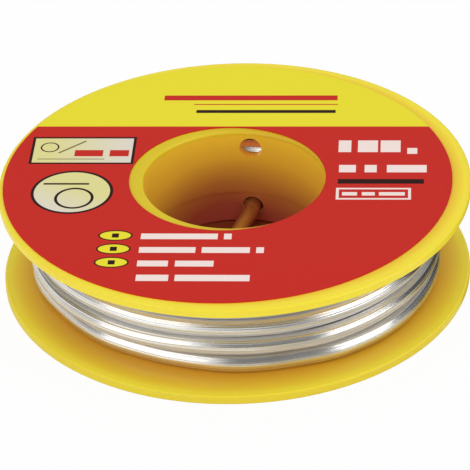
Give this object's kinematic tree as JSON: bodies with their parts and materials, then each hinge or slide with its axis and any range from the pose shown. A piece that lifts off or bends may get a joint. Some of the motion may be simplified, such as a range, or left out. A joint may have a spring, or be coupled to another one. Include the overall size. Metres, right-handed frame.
{
  "type": "solder wire spool",
  "caption": "Round plastic spool of solder wire: flanges on a hollow hub, wire wound between them, and a ring label on its face.",
  "frame": {"origin": "centre of the lower flange's outer face, where the spool stands", "axes": "+Z along the spool's axis towards the labelled flange, +Y through the two anchor holes in the hub"},
  "size_m": [0.07, 0.07, 0.0162],
  "materials": {
    "yellow_plastic": "moulded, satin gloss",
    "printed_label": "laminated print",
    "solder_wire": "bright drawn tin alloy"
  },
  "bodies": {
    "root": {"spool_body": "yellow_plastic", "front_label": "printed_label", "wire_inner_layers": "solder_wire", "wire_outer_layer": "solder_wire", "wire_inner_end": "solder_wire"}
  },
  "joints": []
}
